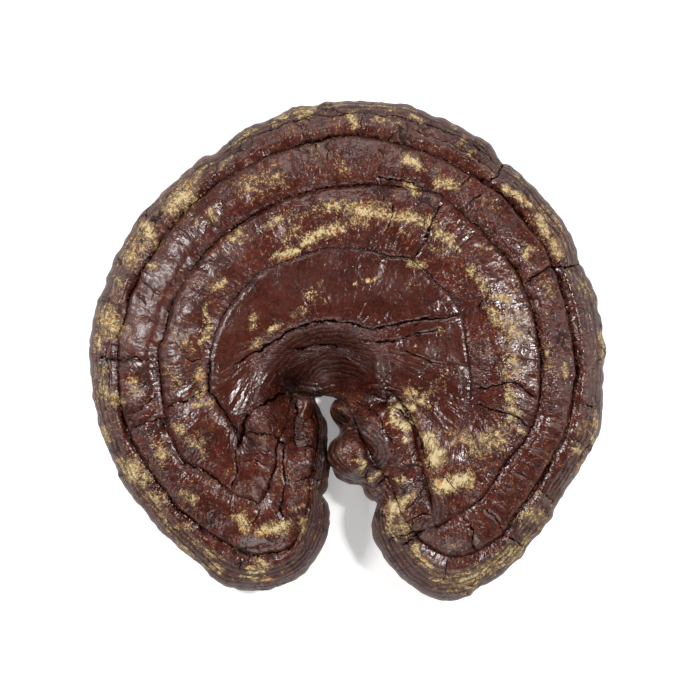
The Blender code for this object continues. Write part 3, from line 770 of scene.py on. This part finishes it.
def cap_object():
    """The whole cap as one closed mesh, in metres, with its fields as attributes."""
    grid, grain, fields, marks = build_fields()
    row_count = len(grid)
    top_pole = grid[0].mean(0)
    low_pole = np.array([*grid[-1][:, :2].mean(0), 0.0])
    points = np.vstack([grid.reshape(-1, 3), top_pole, low_pole]) * MM
    index = np.arange(row_count * COUNT).reshape(row_count, COUNT)
    nxt = np.roll(index, -1, 1)
    quads = np.stack([index[:-1], nxt[:-1], nxt[1:], index[1:]], 2).reshape(-1, 4)
    top_fan = np.stack([np.full(COUNT, len(points) - 2), nxt[0], index[0]], 1)
    low_fan = np.stack([np.full(COUNT, len(points) - 1), index[-1], nxt[-1]], 1)
    mesh = bpy.data.meshes.new("reishi_cap")
    mesh.from_pydata(points.tolist(), [], quads.tolist() + top_fan.tolist() + low_fan.tolist())
    for name, values in fields.items():
        values = np.concatenate([values.ravel(), [values[0].mean(), 0.0]]).astype(np.float32)
        mesh.attributes.new(name, "FLOAT", "POINT").data.foreach_set("value", values)
    grain = np.vstack([grain.reshape(-1, 3), grain[0].mean(0), grain[-1].mean(0)]).astype(np.float32)
    mesh.attributes.new("grain", "FLOAT_VECTOR", "POINT").data.foreach_set("vector", grain.ravel())
    slots = np.zeros(len(quads) + 2 * COUNT, int)
    slots[marks["under"] * COUNT : len(quads)] = 1
    slots[len(quads) + COUNT :] = 2
    mesh.polygons.foreach_set("material_index", slots.astype(np.int32))
    mesh.shade_smooth()
    mesh.update()
    cap = bpy.data.objects.new("reishi_cap", mesh)
    bpy.context.scene.collection.objects.link(cap)
    return cap


# ---------------------------------------------------------------- materials
class Shader:
    """A thin helper that adds and links nodes in one material."""

    def __init__(self, name):
        self.material = bpy.data.materials.new(name)
        self.material.use_nodes = True
        self.tree = self.material.node_tree
        self.surface = self.tree.nodes["Principled BSDF"]

    def link(self, value, socket):
        if isinstance(value, bpy.types.NodeSocket):
            self.tree.links.new(value, socket)
        else:
            socket.default_value = value

    def field(self, name, output="Fac"):
        node = self.tree.nodes.new("ShaderNodeAttribute")
        node.attribute_name = name
        return node.outputs[output]

    def maths(self, operation, a, b=0.0, clamp=False):
        node = self.tree.nodes.new("ShaderNodeMath")
        node.operation = operation
        node.use_clamp = clamp
        for socket, value in zip(node.inputs, (a, b)):
            self.link(value, socket)
        return node.outputs[0]

    def times(self, a, b):
        return self.maths("MULTIPLY", a, b)

    def plus(self, a, b):
        return self.maths("ADD", a, b)

    def minus(self, a, b):
        return self.maths("SUBTRACT", a, b)

    def total(self, base, *parts):
        """A base value and the parts added to it, each times its weight."""
        for value, weight in parts:
            base = self.plus(base, self.times(value, weight))
        return base

    def scaled(self, vector, scale):
        node = self.tree.nodes.new("ShaderNodeVectorMath")
        node.operation = "MULTIPLY"
        self.link(vector, node.inputs[0])
        node.inputs[1].default_value = scale
        return node.outputs[0]

    def noise(self, vector, scale, detail, roughness, distortion=0.0):
        node = self.tree.nodes.new("ShaderNodeTexNoise")
        self.link(vector, node.inputs["Vector"])
        node.inputs["Scale"].default_value = scale
        node.inputs["Detail"].default_value = detail
        node.inputs["Roughness"].default_value = roughness
        node.inputs["Distortion"].default_value = distortion
        return node.outputs["Fac"]

    def jittered(self, vector, scale, amount):
        """The vector, moved about by a noise of its own."""
        node = self.tree.nodes.new("ShaderNodeTexNoise")
        self.link(vector, node.inputs["Vector"])
        node.inputs["Scale"].default_value = scale
        shift = self.scaled(node.outputs["Color"], (amount, amount, 0))
        moved = self.tree.nodes.new("ShaderNodeVectorMath")
        moved.operation = "ADD"
        self.link(vector, moved.inputs[0])
        self.link(shift, moved.inputs[1])
        return moved.outputs[0]

    def cells(self, vector, scale, feature="F1"):
        node = self.tree.nodes.new("ShaderNodeTexVoronoi")
        node.feature = feature
        self.link(vector, node.inputs["Vector"])
        node.inputs["Scale"].default_value = scale
        return node.outputs["Distance"]

    def ramp(self, value, low, high, start=0.0, end=1.0):
        """From start to end as the value goes from low to high."""
        node = self.tree.nodes.new("ShaderNodeMapRange")
        node.interpolation_type = "SMOOTHSTEP"
        self.link(value, node.inputs["Value"])
        self.link(low, node.inputs["From Min"])
        self.link(high, node.inputs["From Max"])
        node.inputs["To Min"].default_value = start
        node.inputs["To Max"].default_value = end
        return node.outputs[0]

    def mix(self, share, first, second):
        node = self.tree.nodes.new("ShaderNodeMix")
        node.data_type = "RGBA"
        self.link(share, node.inputs["Factor"])
        self.link(first, node.inputs["A"])
        self.link(second, node.inputs["B"])
        return node.outputs["Result"]

    def bump(self, height, strength, distance, under=None):
        node = self.tree.nodes.new("ShaderNodeBump")
        self.link(height, node.inputs["Height"])
        node.inputs["Strength"].default_value = strength
        node.inputs["Distance"].default_value = distance
        if under is not None:
            self.tree.links.new(under, node.inputs["Normal"])
        return node.outputs["Normal"]

    def place(self):
        """The piece's own coordinates, in millimetres."""
        node = self.tree.nodes.new("ShaderNodeTexCoord")
        return self.scaled(node.outputs["Object"], (1 / MM, 1 / MM, 1 / MM))


LINE_SOFTNESS = 0.1


def line_mask(shader, gap, width, jag, swell):
    """1 on a dark line: where the distance to it is under its half-width."""
    distance = shader.maths("ABSOLUTE", shader.plus(shader.field(gap), jag))
    half = shader.times(shader.field(width), swell)
    return shader.ramp(shader.minus(half, distance), -LINE_SOFTNESS, LINE_SOFTNESS)


CRUST_DARK = (0.027, 0.0048, 0.0030, 1)
CRUST_RED = (0.084, 0.0125, 0.0052, 1)
CRUST_WARM = (0.082, 0.0150, 0.0034, 1)
# Greyer brown, partly a painted sheen.
CRUST_DULL_AND_SHEEN = (0.070, 0.024, 0.020, 1)
CRUST_HAZE = (0.20, 0.115, 0.062, 1)
CRUST_FLECK = (0.170, 0.070, 0.050, 1)
LAYER_LIP = (0.096, 0.046, 0.036, 1)
# Black of the dark lines, also used for painted shade.
LINE_AND_SHADE_BLACK = (0.0060, 0.0020, 0.0015, 1)
POWDER_GOLD = (0.33, 0.21, 0.070, 1)
POWDER_PALE = (0.56, 0.45, 0.25, 1)
POWDER_ORANGE = (0.52, 0.20, 0.035, 1)
LACQUER_ROUGHNESS = 0.20
BUMP_HEIGHT = 1.0 * MM


def crust_material():
    """Red-brown lacquer with wrinkles, dark lines and straw-coloured powder."""
    s = Shader("lacquered_crust")
    place = s.place()
    grain = s.field("grain", "Vector")
    layers = s.field("layers")
    saw = s.maths("FRACT", s.field("phase"))
    streaks = s.noise(s.scaled(grain, (0.72, 0.20, 1)), 1.0, 1.5, 0.5, 0.9)
    flecks = s.noise(s.scaled(grain, (1.2, 0.62, 1)), 1.0, 4, 0.72, 1.1)
    ring_flecks = s.noise(s.scaled(grain, (0.5, 1.35, 1)), 1.0, 4, 0.72, 0.8)
    blotches = s.noise(place, 0.085, 4, 0.6)
    mottle = s.noise(place, 0.36, 5, 0.68, 0.3)
    dents = s.noise(place, 0.30, 1, 0.5, 0.6)
    pebbles = s.noise(place, 0.62, 1.5, 0.5, 0.8)
    grit = s.noise(place, 1.8, 2, 0.6)
    fine = s.noise(s.scaled(grain, (1.0, 0.55, 1)), 1.3, 3, 0.7, 0.6)

    jag = s.times(s.minus(pebbles, 0.5), 1.6)
    swell = s.ramp(mottle, 0.3, 0.62, 0.3, 1.5)
    furrow = line_mask(s, "ring_gap", "ring_width", jag, swell)
    crack = line_mask(s, "crack_gap", "crack_width", jag, swell)
    torn = s.scaled(s.jittered(s.jittered(grain, 0.16, 9.0), 0.7, 1.6), (0.16, 0.085, 1))
    crackle = s.ramp(s.cells(torn, 1.0, "DISTANCE_TO_EDGE"), 0.014, 0.046, 1.0, 0.0)
    crackle = s.times(crackle, s.ramp(s.noise(place, 0.12, 2, 0.5), 0.46, 0.58, 0.0, 0.85))
    crackle = s.times(crackle, s.field("wrinkled"))
    lines = s.maths("MAXIMUM", s.maths("MAXIMUM", furrow, crack), crackle)

    tone = s.total(0.0, (blotches, 0.5), (mottle, 0.5))
    colour = s.mix(s.ramp(tone, 0.34, 0.60), CRUST_DARK, CRUST_RED)
    stained = s.times(s.field("stain"), s.ramp(mottle, 0.3, 0.6))
    colour = s.mix(stained, colour, CRUST_WARM)
    # Greyer, duller patches at random, partly a painted stand-in for the lacquer's greyish sheen.
    dull_and_sheen = s.times(s.ramp(s.noise(place, 0.11, 3, 0.55), 0.48, 0.66), 0.4)
    colour = s.mix(dull_and_sheen, colour, CRUST_DULL_AND_SHEEN)
    # Painted shade: the crust is darkened in the valleys of the wrinkles and pebbles that the bump sinks.
    wrinkle_valley_shade = s.times(s.field("wrinkled"), s.ramp(streaks, 0.38, 0.5, 0.75, 0.0))
    colour = s.mix(wrinkle_valley_shade, colour, CRUST_DARK)
    colour = s.mix(s.ramp(pebbles, 0.34, 0.48, 0.8, 0.0), colour, CRUST_DARK)
    colour = s.mix(s.ramp(pebbles, 0.54, 0.68, 0.0, 0.2), colour, CRUST_WARM)
    colour = s.mix(s.ramp(fine, 0.30, 0.46, 0.75, 0.0), colour, CRUST_DARK)
    colour = s.mix(s.ramp(fine, 0.54, 0.70, 0.0, 0.42), colour, CRUST_FLECK)
    uneven = s.times(layers, s.ramp(ring_flecks, 0.30, 0.52, 0.45, 1.0))
    step_line = s.times(s.ramp(saw, 0.15, 0.55, 1.0, 0.0), uneven)
    colour = s.mix(s.times(step_line, 0.95), colour, LINE_AND_SHADE_BLACK)
    lip = s.times(s.ramp(saw, 0.55, 0.9), uneven)
    colour = s.mix(s.times(lip, 0.55), colour, LAYER_LIP)
    # Painted shade: the crust is blackened along the furrows, in the hollow and in its pockets.
    colour = s.mix(s.field("shade"), colour, LINE_AND_SHADE_BLACK)
    colour = s.mix(s.times(s.field("deep"), 0.42), colour, CRUST_DARK)

    dusty = s.times(s.field("dusty"), s.ramp(blotches, 0.4, 0.7, 0.08, 0.26))
    amount = s.plus(s.times(s.maths("POWER", s.field("powder"), 1.4), 0.57), dusty)
    haze = s.times(s.ramp(amount, 0.16, 0.62), s.ramp(mottle, 0.36, 0.58, 0.08, 0.62))
    haze = s.times(haze, s.minus(1.0, s.times(step_line, 0.8)))
    colour = s.mix(haze, colour, CRUST_HAZE)
    colour = s.mix(lines, colour, LINE_AND_SHADE_BLACK)
    drawn_out = s.plus(s.times(ring_flecks, layers), s.times(flecks, s.minus(1.0, layers)))
    speck = s.total(0.0, (drawn_out, 0.36), (grit, 0.26), (pebbles, 0.18), (mottle, 0.22))
    speck = s.ramp(speck, 0.38, 0.62)
    edge = s.minus(s.plus(speck, amount), 1.0)
    powder = s.ramp(edge, -0.02, 0.07)
    powder = s.times(powder, s.minus(0.93, s.times(lines, 0.8)))
    powder = s.times(powder, s.minus(1.0, s.times(step_line, 0.85)))
    powder_colour = s.mix(s.ramp(edge, 0.05, 0.5), POWDER_GOLD, POWDER_PALE)
    orange = s.times(s.ramp(s.noise(place, 0.21, 1, 0.5), 0.66, 0.72), 0.7)
    powder_colour = s.mix(orange, powder_colour, POWDER_ORANGE)
    colour = s.mix(powder, colour, powder_colour)
    s.link(colour, s.surface.inputs["Base Color"])

    # The dark lines and the painted shade are made metallic, so that they reflect almost nothing.
    s.link(s.maths("MAXIMUM", lines, s.times(s.field("shade"), 0.8)), s.surface.inputs["Metallic"])

    polish = s.field("polish")
    calm = s.field("calm")
    rough = s.total(LACQUER_ROUGHNESS, (s.ramp(blotches, 0.35, 0.65), 0.08), (polish, -0.08), (layers, 0.14))
    rough = s.total(rough, (calm, 0.13), (lines, 0.4), (haze, 0.4))
    rough = s.maths("ADD", rough, s.times(powder, 0.5), clamp=True)
    s.link(rough, s.surface.inputs["Roughness"])
    s.surface.inputs["Specular IOR Level"].default_value = 0.5

    lively = s.ramp(s.noise(place, 0.055, 2, 0.5), 0.35, 0.65, 0.32, 0.62)
    lively = s.times(lively, s.minus(1.0, s.times(calm, 0.1)))
    lively = s.plus(lively, s.times(polish, 0.95))
    wrinkles = s.times(streaks, s.field("wrinkled"))
    steps = s.times(s.ramp(saw, 0.1, 0.9), uneven)
    height = s.times(s.total(0.0, (wrinkles, 0.8), (dents, 0.55), (pebbles, 0.45)), lively)
    height = s.total(height, (grit, 0.015), (steps, 0.4), (lines, -0.4), (powder, 0.05))
    s.link(s.bump(height, 1.0, BUMP_HEIGHT), s.surface.inputs["Normal"])
    return s.material


PORE_PALE = (0.42, 0.27, 0.14, 1)
PORE_BROWN = (0.20, 0.105, 0.05, 1)
PORE_HOLE = (0.06, 0.028, 0.014, 1)


def pore_material():
    """The pale underside, covered in fine pores."""
    s = Shader("pore_face")
    place = s.place()
    blotches = s.noise(place, 0.06, 5, 0.6)
    pores = s.cells(place, 2.4)
    colour = s.mix(s.ramp(blotches, 0.38, 0.62), PORE_BROWN, PORE_PALE)
    holes = s.ramp(pores, 0.12, 0.3, 1.0, 0.0)
    colour = s.mix(s.times(holes, 0.7), colour, PORE_HOLE)
    s.link(colour, s.surface.inputs["Base Color"])
    s.surface.inputs["Roughness"].default_value = 0.82
    normal = s.bump(pores, 0.6, 0.35 * MM)
    normal = s.bump(s.noise(place, 0.3, 4, 0.6), 0.4, 0.8 * MM, normal)
    s.link(normal, s.surface.inputs["Normal"])
    return s.material


CUT_PALE = (0.34, 0.19, 0.09, 1)
CUT_BROWN = (0.13, 0.06, 0.028, 1)


def cut_material():
    """Fibrous flesh on the flat cut of the stump."""
    s = Shader("cut_flesh")
    place = s.place()
    fibres = s.noise(s.scaled(place, (1.4, 0.25, 1)), 1.0, 4, 0.65)
    blotches = s.noise(place, 0.2, 4, 0.6)
    tone = s.total(0.0, (fibres, 0.6), (blotches, 0.4))
    s.link(s.mix(s.ramp(tone, 0.36, 0.64), CUT_BROWN, CUT_PALE), s.surface.inputs["Base Color"])
    s.surface.inputs["Roughness"].default_value = 0.88
    s.link(s.bump(fibres, 0.5, 0.4 * MM), s.surface.inputs["Normal"])
    return s.material


# ---------------------------------------------------------------- stage, lights and camera
# Lengths from here on are in metres. Each light: name, place, size and power in watts.
LIGHTS = (
    ("key", (-0.70, 0.28, 0.74), (0.18, 0.18), 7.8),
    ("spark", (0.58, 0.10, 0.84), (0.10, 0.10), 6.6),
    ("left_box", (-1.0, 0.1, 0.62), (0.5, 0.9), 2.0),
    ("right_box", (1.0, 0.0, 0.62), (0.5, 0.9), 3.0),
    ("back_box", (0.0, 1.05, 0.62), (0.9, 0.5), 5.2),
    ("front_box", (0.0, -1.05, 0.62), (0.9, 0.5), 6.0),
)
# The studio is pale near the horizon and dim overhead, so that the lacquer stays dark from above.
STUDIO_COLOUR = (1.0, 0.98, 0.97, 1)
HORIZON_LIGHT = 0.75
OVERHEAD_LIGHT = 0.06
OVERHEAD_FROM = 0.3
FLOOR_SIZE = 6.0
FLOOR_COLOUR = (0.93, 0.93, 0.925, 1)
FLOOR_GLOW_COLOUR = (1.0, 0.99, 0.98, 1)
FLOOR_GLOW = 0.26
# The camera looks straight down on the cap.
CAMERA_PLACE = (0.0012, 0.0, 0.940)
CAMERA_LENS = 120
CAMERA_SENSOR = 36


def make_floor():
    bpy.ops.mesh.primitive_plane_add(size=FLOOR_SIZE)
    floor = bpy.context.object
    floor.name = "studio_floor"
    s = Shader("studio_white")
    s.surface.inputs["Base Color"].default_value = FLOOR_COLOUR
    s.surface.inputs["Roughness"].default_value = 0.7
    s.surface.inputs["Specular IOR Level"].default_value = 0.2
    s.surface.inputs["Emission Color"].default_value = FLOOR_GLOW_COLOUR
    s.surface.inputs["Emission Strength"].default_value = FLOOR_GLOW
    floor.data.materials.append(s.material)


def area_light(name, place, size, power):
    data = bpy.data.lights.new(name, "AREA")
    data.shape = "RECTANGLE"
    data.size, data.size_y = size
    data.energy = power
    light = bpy.data.objects.new(name, data)
    light.location = place
    light.rotation_mode = "QUATERNION"
    light.rotation_quaternion = (-Vector(place)).to_track_quat("-Z", "Y")
    bpy.context.scene.collection.objects.link(light)


def make_lights():
    world = bpy.data.worlds.new("studio")
    bpy.context.scene.world = world
    world.use_nodes = True
    nodes, links = world.node_tree.nodes, world.node_tree.links
    direction = nodes.new("ShaderNodeTexCoord")
    split = nodes.new("ShaderNodeSeparateXYZ")
    links.new(direction.outputs["Generated"], split.inputs[0])
    fade = nodes.new("ShaderNodeMapRange")
    fade.interpolation_type = "SMOOTHSTEP"
    links.new(split.outputs["Z"], fade.inputs["Value"])
    fade.inputs["From Min"].default_value = 0.0
    fade.inputs["From Max"].default_value = OVERHEAD_FROM
    fade.inputs["To Min"].default_value = HORIZON_LIGHT
    fade.inputs["To Max"].default_value = OVERHEAD_LIGHT
    links.new(fade.outputs[0], nodes["Background"].inputs["Strength"])
    nodes["Background"].inputs["Color"].default_value = STUDIO_COLOUR
    for light in LIGHTS:
        area_light(*light)


def make_camera():
    data = bpy.data.cameras.new("camera")
    data.lens = CAMERA_LENS
    data.sensor_width = CAMERA_SENSOR
    camera = bpy.data.objects.new("camera", data)
    camera.location = CAMERA_PLACE
    bpy.context.scene.collection.objects.link(camera)
    bpy.context.scene.camera = camera


def make_cap():
    cap = cap_object()
    for material in (crust_material(), pore_material(), cut_material()):
        cap.data.materials.append(material)
    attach(cap, "root")
    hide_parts(CAD_NODE)


make_cap()
make_floor()
make_lights()
make_camera()
bpy.context.scene.view_settings.view_transform = "Standard"
